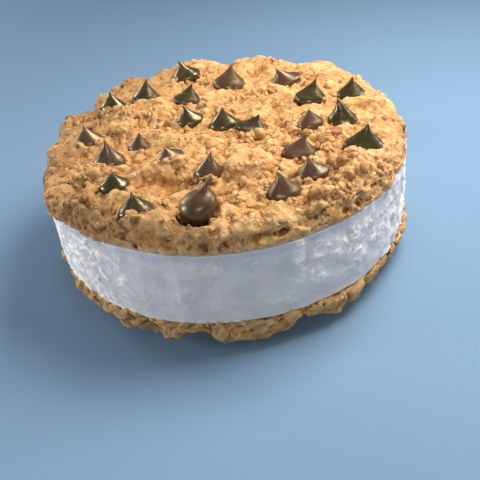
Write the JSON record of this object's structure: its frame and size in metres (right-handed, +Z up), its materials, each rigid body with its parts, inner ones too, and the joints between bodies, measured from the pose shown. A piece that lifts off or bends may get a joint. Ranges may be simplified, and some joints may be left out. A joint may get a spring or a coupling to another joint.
{
  "type": "ice cream sandwich",
  "caption": "Round ice cream sandwich: a thick layer of vanilla ice cream between two lumpy chocolate-chip cookies, with pointed chips standing on the top one.",
  "frame": {"origin": "centre of the bounding box at its lowest level, on the table under the middle of the sandwich", "axes": "+Z up through the layers; +X and +Y across the cookies, -Y towards the side that the reference view shows"},
  "size_m": [0.09, 0.0912, 0.0395],
  "materials": {
    "baked_dough": null,
    "lower_baked_dough": null,
    "vanilla_ice_cream": null,
    "chocolate": null
  },
  "bodies": {
    "root": {"top_cookie": "baked_dough", "bottom_cookie": "lower_baked_dough", "ice_cream": "vanilla_ice_cream", "chip_01": "chocolate", "chip_02": "chocolate", "chip_03": "chocolate", "chip_04": "chocolate", "chip_05": "chocolate", "chip_06": "chocolate", "chip_07": "chocolate", "chip_08": "chocolate", "chip_09": "chocolate", "chip_10": "chocolate", "chip_11": "chocolate", "chip_12": "chocolate", "chip_13": "chocolate", "chip_14": "chocolate", "chip_15": "chocolate", "chip_16": "chocolate", "chip_17": "chocolate", "chip_18": "chocolate", "chip_19": "chocolate", "chip_20": "chocolate", "chip_21": "chocolate", "chip_22": "chocolate", "chip_23": "chocolate", "chip_24": "chocolate", "chip_25": "chocolate", "under_chip_01": "chocolate", "under_chip_02": "chocolate", "under_chip_03": "chocolate", "under_chip_04": "chocolate", "under_chip_05": "chocolate", "under_chip_06": "chocolate", "under_chip_07": "chocolate", "under_chip_08": "chocolate", "under_chip_09": "chocolate", "under_chip_10": "chocolate"}
  },
  "joints": []
}
